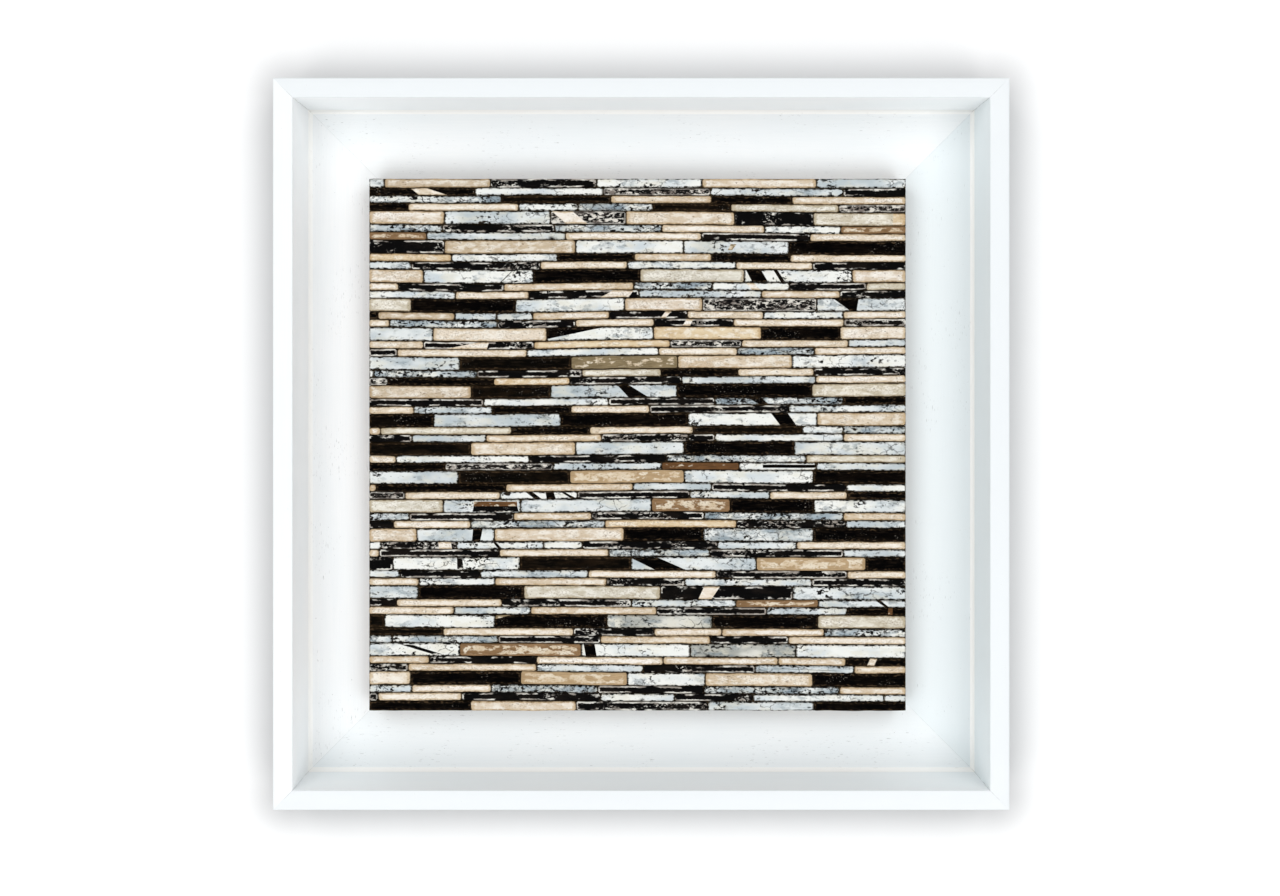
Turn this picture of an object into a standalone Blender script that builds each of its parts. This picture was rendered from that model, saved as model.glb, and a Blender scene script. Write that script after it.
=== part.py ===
"""Wall panel: narrow wooden strips laid in courses on a board, in a deep white tray frame.

Sizes are metres. X runs to the right as the panel is looked at, Z runs up, and Y runs back into the
wall, so the strips look towards -Y. The origin is the point of the frame's back that hangs on the
wall, midway between the two hangers.
"""

import math

import bmesh
import bpy
from mathutils import Matrix, Vector

# Panel of strips
PANEL_WIDTH = 0.420
PANEL_HEIGHT = 0.4166
BOARD_THICKNESS = 0.018
PANEL_SHIFT_X = -0.003
PANEL_SHIFT_Z = -0.002

# Strips and the grout they stand in
STRIP_THICKNESS = 0.006
STRIP_UNEVENNESS = 0.0003
STRIP_ROUNDING = 0.0005
TALL_PITCH = 0.0104
THIN_PITCH = 0.00608
FIRST_COURSE = 0.0073
GROOVE = 0.0008
GROOVE_DEPTH = 0.002
SMALLEST_OFFCUT = 0.002

# Tray frame
FLOOR_MARGIN = 0.056
LEDGE_UNDER_PANEL = 0.018
WALL_THICKNESS = 0.015
WALL_DEPTH = 0.050
FLOOR_THICKNESS = 0.010
CORNER_RADIUS = 0.004
CORNER_STEPS = 4
ARRIS = 0.0006

# Toothed hangers, let into the back of the top rail
HANG_DROP = 0.040
HANGER_INSET = 0.101
HANGER_LENGTH = 0.056
HANGER_HEIGHT = 0.012
HANGER_SHEET = 0.001
HANGER_TAB = 0.010
HANGER_RAMP = 0.003
HANGER_RAISE = 0.0015
HANGER_FLUSH = 0.0007
REBATE_MARGIN = 0.003
TOOTH_PITCH = 0.003
TOOTH_DEPTH = 0.002
NAIL_HEAD_RADIUS = 0.0022
NAIL_HEAD_HEIGHT = 0.0008
NAIL_HEAD_SIDES = 12
NAIL_HEAD_TAPER = 0.8

# Clearance between pieces that touch
FIT_GAP = 0.0003

# One sheet of the mosaic, course by course from the top: where each strip ends, in steps of
# CUT_UNIT from the sheet's left edge. The last strip of a course ends with the sheet, so a narrower
# sheet loses the cuts past its edge. A panel wider or taller than one sheet starts the sheet again.
SHEET_WIDTH = 0.420
CUT_UNIT = 0.001
SHEET_CUTS = (
    (12, 95, 178, 260.5, 350),
    (83, 183, 267, 371),
    (103.5, 189, 268, 331),
    (30.5, 117, 163.5, 222, 283, 367.5),
    (59, 142, 201, 286, 347.5),
    (57.5, 145, 229, 309.5, 369),
    (45, 153.5, 260, 345),
    (59, 161.5, 246, 328.5),
    (64.5, 147.5, 207.5, 268, 329.5),
    (33, 134, 202, 287, 347),
    (42.5, 128.5, 212, 293.5, 378),
    (23, 105.5, 207, 268.5, 329, 389),
    (67.5, 125, 211, 307, 368.5),
    (33, 114.5, 200, 261, 350),
    (7, 67, 100, 128, 188, 249, 308.5, 371),
    (16, 100.5, 161.5, 223, 285, 371.5),
    (50, 139, 222.5, 307, 368.5),
    (42.5, 129, 235.5, 291.5, 375),
    (22, 123.5, 226.5, 288, 348.5),
    (71, 158, 241.5, 331),
    (3.5, 84.5, 166.5, 228.5, 288.5, 348),
    (14.5, 97.5, 157, 244.5, 349.5),
    (80, 142, 241, 346.5),
    (89.5, 187.5, 270.5, 371),
    (35, 96.5, 158, 219.5, 328.5),
    (50.5, 150, 249.5, 350.5),
    (9, 111.5, 172.5, 253.5, 339, 371),
    (33.5, 91.5, 182, 250, 270.5, 371),
    (79.5, 161.5, 246.5, 332.5),
    (21, 125.5, 232.5, 342),
    (59.5, 144, 229, 289.5, 350),
    (70, 157, 246.5, 347.5),
    (5.5, 107, 206.5, 268, 373.5),
    (28, 102.5, 163, 251, 313.5, 374),
    (58, 118.5, 221, 282.5, 348),
    (31.5, 113, 174, 262, 371),
    (19, 79.5, 184.5, 287.5, 373),
    (37.5, 98, 199.5, 261.5, 347.5),
    (9.5, 68.5, 136.5, 167, 272.5, 334.5),
    (8, 102, 187.5, 266.5, 371),
    (18.5, 118, 205, 303, 388.5),
    (24, 87, 171.5, 271.5, 374),
    (39, 98.5, 186, 247, 346.5),
    (38.5, 121, 228, 331.5),
    (21.5, 104, 205, 287, 351.5),
    (66.5, 126.5, 225, 311, 374),
    (12, 98.5, 186, 268.5, 351),
    (58, 160, 223, 276, 356),
    (18, 101, 181, 267, 328),
    (71, 166, 251, 334),
    (47, 131, 230, 320, 373),
    (30.5, 131, 214.5, 302, 379.5),
    (32.5, 118.5, 202, 263, 347),
    (33.5, 95.5, 179, 262, 368),
    (7, 72.5, 181, 239, 300.5, 403),
    (79.5, 162, 265, 348),
)

# Worked out from the sizes above
FRAME_WIDTH = PANEL_WIDTH + 2 * (FLOOR_MARGIN + WALL_THICKNESS)
FRAME_HEIGHT = PANEL_HEIGHT + 2 * (FLOOR_MARGIN + WALL_THICKNESS)
FRAME_DEPTH = FLOOR_THICKNESS + WALL_DEPTH
MOULDING_WIDTH = WALL_THICKNESS + FLOOR_MARGIN + LEDGE_UNDER_PANEL
FRAME_CENTRE = Vector((0, 0, HANG_DROP - FRAME_HEIGHT / 2))
PANEL_LEFT = PANEL_SHIFT_X - PANEL_WIDTH / 2
PANEL_TOP = FRAME_CENTRE.z + PANEL_SHIFT_Z + PANEL_HEIGHT / 2
BOARD_BACK = -(FLOOR_THICKNESS + FIT_GAP)
GROUT_THICKNESS = STRIP_THICKNESS - GROOVE_DEPTH
REBATE_DEPTH = FIT_GAP + HANGER_SHEET + HANGER_RAISE + HANGER_FLUSH
MITRE_RELIEF = FIT_GAP / math.sqrt(2)


def clear_scene():
    for old in list(bpy.data.objects):
        bpy.data.objects.remove(old)


def material(name, colour, roughness, metallic=0.0):
    finish = bpy.data.materials.new(name)
    finish.use_nodes = True
    shader = finish.node_tree.nodes["Principled BSDF"]
    shader.inputs["Base Color"].default_value = (*colour, 1.0)
    shader.inputs["Roughness"].default_value = roughness
    shader.inputs["Metallic"].default_value = metallic
    return finish


def add_object(name, shape, finish=None, parent=None, location=(0, 0, 0), turn_y=0.0):
    """Makes an object from a bmesh and frees the bmesh."""
    mesh = bpy.data.meshes.new(name)
    bmesh.ops.recalc_face_normals(shape, faces=shape.faces)
    shape.to_mesh(mesh)
    shape.free()
    piece = bpy.data.objects.new(name, mesh)
    bpy.context.collection.objects.link(piece)
    piece.location = location
    piece.rotation_euler.y = turn_y
    piece.parent = parent
    if finish:
        mesh.materials.append(finish)
    return piece


def add_empty(name, location=(0, 0, 0), parent=None):
    empty = bpy.data.objects.new(name, None)
    bpy.context.collection.objects.link(empty)
    empty.location = location
    empty.parent = parent
    return empty


def add_box(shape, low, high):
    """Adds a box between two corners to a bmesh and gives its corners back."""
    low = Vector(low)
    high = Vector(high)
    place = Matrix.Translation((low + high) / 2) @ Matrix.Diagonal((*(high - low), 1))
    return bmesh.ops.create_cube(shape, size=1.0, matrix=place)["verts"]


def combine(piece, tool, operation):
    """Lets a guide object cut or join a piece."""
    tool.hide_render = True
    tool.display_type = "WIRE"
    step = piece.modifiers.new(tool.name, "BOOLEAN")
    step.operation = operation
    step.solver = "EXACT"
    step.object = tool


def moulding_section():
    """Section of the tray moulding as (in from the outer edge, out from the back) points."""
    corner_in = WALL_THICKNESS + CORNER_RADIUS
    corner_out = FLOOR_THICKNESS + CORNER_RADIUS
    section = [(0, 0), (MOULDING_WIDTH, 0), (MOULDING_WIDTH, FLOOR_THICKNESS)]
    for step in range(CORNER_STEPS + 1):
        turn = math.radians(90) * step / CORNER_STEPS
        section.append(
            (corner_in - CORNER_RADIUS * math.sin(turn), corner_out - CORNER_RADIUS * math.cos(turn))
        )
    section += [
        (WALL_THICKNESS, FRAME_DEPTH - ARRIS),
        (WALL_THICKNESS - ARRIS, FRAME_DEPTH),
        (ARRIS, FRAME_DEPTH),
        (0, FRAME_DEPTH - ARRIS),
    ]
    return section


def rail_shape(length, reach):
    """A mitred rail along X. Its outer edge is `reach` above the middle of the frame."""
    shape = bmesh.new()
    end = []
    for inward, outward in moulding_section():
        half = length / 2 - inward - MITRE_RELIEF
        end.append(shape.verts.new((-half, -outward, reach - inward)))
    first = shape.faces.new(end)
    grown = bmesh.ops.extrude_face_region(shape, geom=[first])["geom"]
    for corner in grown:
        if isinstance(corner, bmesh.types.BMVert):
            corner.co.x = -corner.co.x
    return shape


def build_rails(parent):
    """Four lengths of one moulding, mitred at the corners and painted white."""
    rails = {}
    places = (
        ("rail_top", FRAME_WIDTH, FRAME_HEIGHT / 2, 0),
        ("rail_right", FRAME_HEIGHT, FRAME_WIDTH / 2, 90),
        ("rail_bottom", FRAME_WIDTH, FRAME_HEIGHT / 2, 180),
        ("rail_left", FRAME_HEIGHT, FRAME_WIDTH / 2, 270),
    )
    for name, length, reach, turn in places:
        rails[name] = add_object(
            name,
            rail_shape(length, reach),
            material(name, (0.88, 0.90, 0.90), 0.5),
            parent,
            FRAME_CENTRE,
            math.radians(turn),
        )
    return rails


def hanger_outline():
    """Outline of the hanger strip in X and Z, with a row of teeth in the middle of its lower edge."""
    half_length = HANGER_LENGTH / 2
    half_height = HANGER_HEIGHT / 2
    toothed = HANGER_LENGTH - 2 * (HANGER_TAB + HANGER_RAMP)
    teeth = max(1, int(toothed / TOOTH_PITCH))
    outline = [(half_length, half_height), (-half_length, half_height), (-half_length, -half_height)]
    for tooth in range(teeth):
        left = (tooth - teeth / 2) * TOOTH_PITCH
        outline.append((left, -half_height))
        outline.append((left + TOOTH_PITCH / 2, TOOTH_DEPTH - half_height))
    outline.append((teeth * TOOTH_PITCH / 2, -half_height))
    outline.append((half_length, -half_height))
    return outline


def hanger_shape():
    """A toothed strip whose middle stands off the wood, so that a nail's head fits behind it."""
    shape = bmesh.new()
    outline = [shape.verts.new((x, 0, z)) for x, z in hanger_outline()]
    grown = bmesh.ops.extrude_face_region(shape, geom=[shape.faces.new(outline)])["geom"]
    for corner in grown:
        if isinstance(corner, bmesh.types.BMVert):
            corner.co.y = HANGER_SHEET
    tab_start = HANGER_LENGTH / 2 - HANGER_TAB
    ramp_start = tab_start - HANGER_RAMP
    for bend in (-tab_start, -ramp_start, ramp_start, tab_start):
        bmesh.ops.bisect_plane(
            shape,
            geom=shape.verts[:] + shape.edges[:] + shape.faces[:],
            plane_co=(bend, 0, 0),
            plane_no=(1, 0, 0),
        )
    for corner in shape.verts:
        up_the_ramp = (tab_start - abs(corner.co.x)) / HANGER_RAMP
        corner.co.y += HANGER_RAISE * min(1.0, max(0.0, up_the_ramp))
    return shape


def nail_heads_shape():
    """The two nail heads that hold a hanger, each rooted halfway down its tab."""
    shape = bmesh.new()
    root = HANGER_SHEET / 2
    height = root + NAIL_HEAD_HEIGHT
    for side in (-1, 1):
        centre = Vector((side * (HANGER_LENGTH - HANGER_TAB) / 2, root + height / 2, 0))
        bmesh.ops.create_cone(
            shape,
            cap_ends=True,
            segments=NAIL_HEAD_SIDES,
            radius1=NAIL_HEAD_RADIUS,
            radius2=NAIL_HEAD_RADIUS * NAIL_HEAD_TAPER,
            depth=height,
            matrix=Matrix.Translation(centre) @ Matrix.Rotation(math.radians(-90), 4, "X"),
        )
    return shape


def build_hangers(rail_top, parent):
    """Two toothed hangers in shallow rebates, so that the frame's back stays flat on the wall."""
    for name, side in (("hanger_left", -1), ("hanger_right", 1)):
        centre_x = side * (FRAME_WIDTH / 2 - HANGER_INSET)
        rebate = bmesh.new()
        half_length = HANGER_LENGTH / 2 + REBATE_MARGIN
        half_height = HANGER_HEIGHT / 2 + REBATE_MARGIN
        add_box(
            rebate,
            (centre_x - half_length, -REBATE_DEPTH, -half_height),
            (centre_x + half_length, REBATE_DEPTH, half_height),
        )
        combine(rail_top, add_object(name + "_rebate", rebate, parent=parent), "DIFFERENCE")
        place = (centre_x, FIT_GAP - REBATE_DEPTH, 0)
        finish = material(name, (0.62, 0.60, 0.55), 0.35, 1.0)
        hanger = add_object(name, hanger_shape(), finish, parent, place)
        heads = add_object(name + "_nail_heads", nail_heads_shape(), parent=parent, location=place)
        combine(hanger, heads, "UNION")


def build_board(parent):
    """The board that carries the strips, resting on the frame's floor."""
    shape = bmesh.new()
    add_box(shape, (0, -BOARD_THICKNESS, -PANEL_HEIGHT), (PANEL_WIDTH, 0, 0))
    board = add_object("panel_board", shape, material("panel_board", (0.33, 0.24, 0.16), 0.7), parent)
    edges = board.modifiers.new("eased_edges", "BEVEL")
    edges.width = ARRIS
    edges.segments = 1


def is_tall(course):
    """Two thin courses lie under every tall one, and a third one lies under the first."""
    number = course % len(SHEET_CUTS)
    return number == 0 or (number > 1 and number % 3 == 1)


def course_heights():
    """Lists (top, bottom) of every course, measured down from the panel's top edge."""
    heights = []
    top = 0.0
    while PANEL_HEIGHT - top > SMALLEST_OFFCUT:
        pitch = TALL_PITCH if is_tall(len(heights)) else THIN_PITCH
        if not heights:
            pitch = FIRST_COURSE
        bottom = top + pitch
        if PANEL_HEIGHT - bottom < SMALLEST_OFFCUT:
            bottom = PANEL_HEIGHT
        heights.append((top, bottom))
        top = bottom
    return heights


def strip_spans(course):
    """Lists (left, right) of a course's strips, measured from the panel's left edge."""
    cuts = [cut * CUT_UNIT for cut in SHEET_CUTS[course % len(SHEET_CUTS)]]
    cuts = [cut for cut in cuts if cut < SHEET_WIDTH - SMALLEST_OFFCUT]
    ends = []
    sheet_left = 0.0
    while sheet_left < PANEL_WIDTH:
        ends += [sheet_left + cut for cut in cuts] + [sheet_left + SHEET_WIDTH]
        sheet_left += SHEET_WIDTH
    ends = [end for end in ends if end < PANEL_WIDTH - SMALLEST_OFFCUT] + [PANEL_WIDTH]
    return list(zip([0.0] + ends[:-1], ends))


def add_strip(shape, low, high):
    """Adds one strip to a bmesh, with the edges of its front rounded off."""
    front = [corner for corner in add_box(shape, low, high) if corner.co.y < (low[1] + high[1]) / 2]
    edges = [edge for edge in shape.edges if edge.verts[0] in front and edge.verts[1] in front]
    bmesh.ops.bevel(
        shape,
        geom=edges,
        offset=STRIP_ROUNDING,
        offset_type="OFFSET",
        segments=1,
        profile=0.5,
        affect="EDGES",
        material=-1,
    )


def add_course_strips(shape, course, top, bottom, bed_top):
    """Adds a course's strips to a bmesh, each one rooted halfway down the grout."""
    spans = strip_spans(course)
    for number, (left, right) in enumerate(spans):
        start = left + (GROOVE / 2 if number else FIT_GAP)
        end = right - (GROOVE / 2 if number < len(spans) - 1 else FIT_GAP)
        worn = STRIP_UNEVENNESS * ((course + 2 * number) % 3)
        add_strip(
            shape,
            (start, worn - STRIP_THICKNESS, bed_top - bottom + GROOVE / 2),
            (end, -GROUT_THICKNESS / 2, bed_top - top - GROOVE / 2),
        )


def build_course_group(name, courses, heights, finish, parent):
    """Makes one course, or thin courses that lie together, as strips standing in a bed of grout."""
    top = heights[courses[0]][0]
    bottom = heights[courses[-1]][1]
    bed = bmesh.new()
    bed_low = (0, -GROUT_THICKNESS, FIT_GAP / 2 - (bottom - top))
    add_box(bed, bed_low, (PANEL_WIDTH, 0, -FIT_GAP / 2))
    place = (0, -BOARD_THICKNESS - FIT_GAP, -top)
    group = add_object(name, bed, finish, parent, place)
    strips = bmesh.new()
    for course in courses:
        add_course_strips(strips, course, *heights[course], top)
    combine(group, add_object(name + "_laid", strips, parent=parent, location=place), "UNION")


def course_groups(count):
    """Groups the courses that make one piece: a tall one alone, and thin ones that lie together."""
    groups = []
    for course in range(count):
        if groups and not is_tall(course) and not is_tall(groups[-1][0]):
            groups[-1].append(course)
        else:
            groups.append([course])
    return groups


def build_strips(parent):
    """Every course of strips, in a lighter finish where the strips are tall."""
    heights = course_heights()
    finishes = {"tall_strips": (0.55, 0.51, 0.45), "thin_strips": (0.36, 0.33, 0.29)}
    built = {"tall_strips": 0, "thin_strips": 0}
    for courses in course_groups(len(heights)):
        kind = "tall_strips" if is_tall(courses[0]) else "thin_strips"
        built[kind] += 1
        name = f"{kind}_{built[kind]:02d}"
        build_course_group(name, courses, heights, material(name, finishes[kind], 0.6), parent)


def main():
    clear_scene()
    wall_point = add_empty("wall_point")
    panel_corner = add_empty("panel_corner", (PANEL_LEFT, BOARD_BACK, PANEL_TOP), wall_point)
    rails = build_rails(wall_point)
    build_hangers(rails["rail_top"], wall_point)
    build_board(panel_corner)
    build_strips(panel_corner)


main()
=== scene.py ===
"""Looks of the strip panel: the worn paint of every strip, the white tray frame, and the studio.

Metres, in the frame of the solids: X to the right, Z up, and the strips look towards -Y. Patterns on
the strips and on the rails are laid out in millimetres.
"""

import math
import random
from functools import partial

import bmesh
import bpy
from mathutils import Matrix, Vector, noise


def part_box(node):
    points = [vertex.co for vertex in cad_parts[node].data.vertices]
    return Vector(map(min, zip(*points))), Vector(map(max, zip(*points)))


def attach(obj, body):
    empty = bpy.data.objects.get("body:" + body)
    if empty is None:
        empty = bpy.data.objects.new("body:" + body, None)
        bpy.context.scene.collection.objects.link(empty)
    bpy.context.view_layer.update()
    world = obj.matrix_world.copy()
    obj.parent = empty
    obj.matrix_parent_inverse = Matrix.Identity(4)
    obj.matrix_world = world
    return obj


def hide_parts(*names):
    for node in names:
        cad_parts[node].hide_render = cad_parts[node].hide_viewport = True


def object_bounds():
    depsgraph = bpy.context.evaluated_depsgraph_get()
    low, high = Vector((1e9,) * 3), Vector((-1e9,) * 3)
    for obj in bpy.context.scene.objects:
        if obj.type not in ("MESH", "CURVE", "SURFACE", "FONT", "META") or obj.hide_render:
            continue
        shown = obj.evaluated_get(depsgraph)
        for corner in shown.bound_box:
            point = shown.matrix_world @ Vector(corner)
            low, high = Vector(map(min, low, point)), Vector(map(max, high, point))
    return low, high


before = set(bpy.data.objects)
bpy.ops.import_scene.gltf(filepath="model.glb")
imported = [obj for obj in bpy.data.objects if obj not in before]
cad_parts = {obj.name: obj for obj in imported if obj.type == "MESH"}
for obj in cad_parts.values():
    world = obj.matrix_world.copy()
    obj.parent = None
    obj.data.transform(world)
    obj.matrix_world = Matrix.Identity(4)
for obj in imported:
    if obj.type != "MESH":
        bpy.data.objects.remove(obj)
CAD_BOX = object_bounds()
PANEL_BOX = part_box("panel_board")

MM = 0.001

# When corners are one, when a cut goes through a corner, when faces are one, when ways are the same
MERGE_DISTANCE = 0.01 * MM
CUT_DISTANCE = 0.001 * MM
FLAT = math.radians(1)
ALIGNED = 0.99

# What the solids are made to
BED_SINK = 0.002
STRIP_ROUNDING = 0.0005
RAIL_WALL = 0.015
RAIL_FLOOR = 0.010
RAIL_EDGE = 0.0012

# Rails
RAIL_EASING = 0.00022
FOOT_COVE = 0.0032
MITRE_CLOSING = 0.000205
LONG_EDGE = 0.1
RAILS = ("rail_top", "rail_right", "rail_bottom", "rail_left")
# Painted shade on each rail's paint, in the order of RAILS: 0 for the lightest rail, 1 for the darkest and
# bluest
RAIL_PAINTED_SHADES = (0.25, 1.0, 0.45, 0.0)
RAIL_LAYERS = ("rail_arris", "rail_mitre", "rail_foot", "rail_painted_shade")
BACK_FACING = 0.9
BARE_DEPTH = 0.004

# Strips
STATION = 0.004
RIM_ROUNDING = 0.00045
CORNER_ROUNDING = (0.0006, 0.0017)
FACE_DIPS = 0.00012
FACE_WAVE = 0.014
EDGE_WANDER = 0.0005
EDGE_WAVE = 0.012
END_SLANT = 0.0004
BED_ROOT = 0.0006
GROUT_STATIONS = 60
COURSE_WANDER = 0.0004
COURSE_WAVE = 0.09
COURSE_WAVE_SEED = 5.5
SAG_FADE = 0.012

# Widths of patterns in millimetres, how they are stretched, and what keeps them apart
# The first width is that of the painted highlight along the cove at the foot of the rails' inner walls
FOOT_HIGHLIGHT_BAND = 3.0
RIM_CORNER = 1.5
WIDE_ENDS = 2.2
CRACK_STRETCH = 1.4
PATTERN_STEP = 3.7
RAIL_PATTERN_STEP = 9.1
COURSE_SEED = 7.13
NUMBER_SEED = 1.37
LUCK_SEED = 7.31

# How far the courses run down from left to right, as pairs: millimetres below the top, fall
COURSE_FALLS = (
    (0, 0.0), (30, 1.3), (55, 0.5), (78, -0.9), (120, -0.9), (146, -2.0), (190, -1.5), (215, -0.3),
    (250, 0.2), (280, 0.2), (324, 1.4), (350, 1.0), (391, 1.8), (417, 0.4),
)

# Where the courses bend: millimetres from the left, below the top, reach across, reach down, drop
COURSE_BENDS = (
    (95, 115, 70, 55, 1.5),
    (400, 60, 100, 60, 1.0),
    (240, 250, 70, 45, -1.2),
    (125, 400, 60, 30, -0.9),
)

# Board
PLY = 0.0018

# Camera and picture
PICTURE_WIDTH = 1280
PICTURE_HEIGHT = 896
EYE_BEFORE_FACE = 1.015
EYE_RIGHT = 0.0037
EYE_ABOVE_CENTRE = 0.0533
LENS = 37.43
SENSOR = 36.0
CENTRE_PIXEL = (641.2, 443.95)

# Light: each lamp is given as its side, its height and its share of the power
LAMP_DISTANCE = 1.8
LAMP_OFFSET = 0.98
LAMP_WIDTH = 1.08
LAMP_POWER = 8.8
LAMPS = (
    ("lamp_upper_left", -1, 1, 0.96),
    ("lamp_upper_right", 1, 1, 1.00),
    ("lamp_lower_right", 1, -1, 1.06),
    ("lamp_lower_left", -1, -1, 1.02),
)
ROOM_LIGHT = 0.615
ROOM_COLOUR = (0.98, 0.99, 1.0, 1.0)
BACKDROP = (0.93, 0.94, 0.95, 1.0)
BACK_LAMP_OFFSET = (0.5, 2.2, 0.6)
BACK_LAMP_WIDTH = 1.4
BACK_LAMP_POWER = 24.0

# Studio
STAGE_REACH = 4.0
STAGE_GAP = 0.0003
FLOOR_DROP = 1.4
STAGE_PALE = (0.95, 0.95, 0.95, 1.0)
# A painted shadow on the wall round the frame: its grey, where it fades out in metres from the frame's edge,
# and how far it is moved down
STAGE_PAINTED_SHADOW = (0.38, 0.38, 0.385, 1.0)
PAINTED_SHADOW_REACH = (-0.015, 0.050)
PAINTED_SHADOW_DROP = 0.0055

# How each course was finished, from the top and from left to right, read:
# w white over black, v bluish white, x much chipped, g greyed, c cream, d buff, e dull, y ivory,
# t tan, k black, n brownish black, s black with paint left at the rim, r speckled, b brown wood,
# o olive wood, p tan wood, h bare wood
COURSE_FINISHES = (
    "weswdv", "kwrvs", "xndkd", "kcwxnyr", "dvrdsy", "xsxcwb", "bvcsc", "sewvk",
    "twkdkc", "vscwcs", "dwkywd", "csdxwsy", "wcsvds", "ykwdrv", "kevvdscwc", "cxscscs",
    "vcwtkc", "cstrcv", "scwcxc", "vnodw", "wxsykcs", "rktsvc", "envky", "swsxk",
    "cvkcsw", "kvkwd", "dykcnwx", "svdsswc", "ndvkv", "cwsxy", "krvhwv", "vnpwk",
    "dkdvsw", "rcwsvck", "yvvbkw", "vsdsxd", "scxtsv", "dvdkxk", "wswwsvc", "cscxsv",
    "swnvpk", "wsvcsc", "cwdsws", "vkysv", "scsvbv", "cvdsvk", "nwkgky", "ncscdx",
    "xxsdsc", "wbwgw", "dscddk", "sdvsvd", "ckpwdk", "wcxsxd", "rcswsww", "kdsvk",
)

# Bars and blots of another finish across a strip: course, then in millimetres from the panel's left
# the lower left, upper left, lower right and upper right corner, then the shares of the strip's
# height that it runs between, then its finish
MARKS = (
    (1, 39, 33, 61.5, 45, 0, 1, "c"),
    (4, 154, 143, 171, 159, 0, 1, "c"),
    (4, 410, 410, 420, 420, 0, 1, "t"),
    (7, 280.5, 283, 284, 287.5, 0.25, 0.75, "o"),
    (10, 102, 112.5, 103, 113.2, 0, 1, "k"),
    (10, 299.5, 295, 312, 306.8, 0, 1, "k"),
    (10, 322, 316.5, 325.5, 319.5, 0, 1, "k"),
    (11, 299.5, 295, 306, 301, 0, 1, "c"),
    (12, 181, 191, 203, 207, 0, 1, "c"),
    (13, 376.5, 363, 381.5, 383, 0, 1, "k"),
    (14, 228, 232, 232, 236.5, 0, 1, "c"),
    (15, 245, 248.5, 251, 253.7, 0, 1, "c"),
    (16, 139, 139, 141, 183, 0.15, 1, "k"),
    (17, 60, 86.5, 92, 94, 0, 1, "c"),
    (22, 203, 194, 218.5, 203, 0, 1, "k"),
    (23, 304.8, 296.8, 312.8, 306.8, 0, 1, "k"),
    (25, 322, 314.1, 334.6, 327.3, 0, 1, "k"),
    (30, 308, 308, 350, 350, 0.3, 0.78, "k"),
    (33, 129.5, 122.4, 135.2, 128, 0, 1, "k"),
    (33, 139, 138, 146, 144.5, 0, 1, "k"),
    (33, 158, 150, 162.2, 152.8, 0, 1, "k"),
    (34, 81, 82, 117, 116, 0.05, 0.5, "s"),
    (34, 82, 82, 116, 116, 0.5, 0.88, "h"),
    (37, 80.5, 81.5, 87, 89, 0, 1, "k"),
    (38, 55, 54, 65, 64, 0, 1, "c"),
    (38, 101, 97, 104, 99.5, 0, 1, "k"),
    (40, 69, 69, 74, 73, 0, 1, "s"),
    (40, 224, 204, 247.7, 225.8, 0, 1, "k"),
    (43, 257.7, 262, 268, 274.3, 0, 1, "c"),
    (44, 403.5, 396.5, 406.5, 400.5, 0, 1, "k"),
    (45, 406, 406, 409.5, 409.5, 0, 1, "h"),
    (46, 99, 99, 99.5, 111, 0.7, 1, "o"),
    (49, 50, 25, 58, 33, 0.1, 0.9, "s"),
    (49, 169.5, 168, 178, 176.5, 0, 1, "k"),
    (50, 389.5, 392, 395, 397.5, 0, 1, "c"),
    (51, 364, 316, 372, 324, 0.3, 0.6, "k"),
)


def paint(red, green, blue):
    """A paint's colour from its 0 to 255 values."""

    def linear(value):
        share = value / 255
        return share / 12.92 if share <= 0.04045 else ((share + 0.055) / 1.055) ** 2.4

    return (linear(red), linear(green), linear(blue), 1.0)


class Nodes:
    """Adds nodes to a node tree. An input is a plain value or another node's output."""

    def __init__(self, tree):
        self.tree = tree

    def fill(self, node, inputs):
        for key, value in inputs.items():
            if isinstance(value, bpy.types.NodeSocket):
                self.tree.links.new(value, node.inputs[key])
            else:
                node.inputs[key].default_value = value
        return node

    def add(self, kind, inputs=None, **settings):
        node = self.tree.nodes.new("ShaderNode" + kind)
        for key, value in settings.items():
            setattr(node, key, value)
        return self.fill(node, inputs or {})

    def maths(self, operation, first, second, clamp=False):
        inputs = {0: first, 1: second}
        return self.add("Math", inputs, operation=operation, use_clamp=clamp).outputs[0]

    def coat(self, mask, under, over):
        """Lays one colour over another where the mask says."""
        mix = self.add("Mix", data_type="RGBA")
        return self.fill(mix, {0: mask, 6: under, 7: over}).outputs[2]

    def ramp(self, value, start, end):
        """0 below the start and 1 past the end, smooth between."""
        inputs = {"Value": value, "From Min": start, "From Max": end}
        return self.add("MapRange", inputs, interpolation_type="SMOOTHSTEP").outputs[0]

    def spread(self, value, low, high):
        """Spreads a value from 0 to 1 between two numbers."""
        return self.add("MapRange", {"Value": value, "To Min": low, "To Max": high}).outputs[0]

    def effect(self, name, inputs):
        group = self.add("Group", node_tree=bpy.data.node_groups[name])
        return self.fill(group, inputs).outputs[0]

    def blots(self, place, size, stretch, level, softness, shift):
        """Blots of a size in millimetres, drawn out along the piece."""
        inputs = {"Place": place, "Size": size, "Stretch": stretch, "Level": level}
        return self.effect("blots", {**inputs, "Softness": softness, "Shift": shift})

    def surface(self, inputs):
        """Fills in the material's own shader."""
        return self.fill(self.tree.nodes["Principled BSDF"], inputs)


def new_material(name):
    """Starts a material and gives it with its nodes."""
    material = bpy.data.materials.new(name)
    material.use_nodes = True
    return material, Nodes(material.node_tree)


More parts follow.
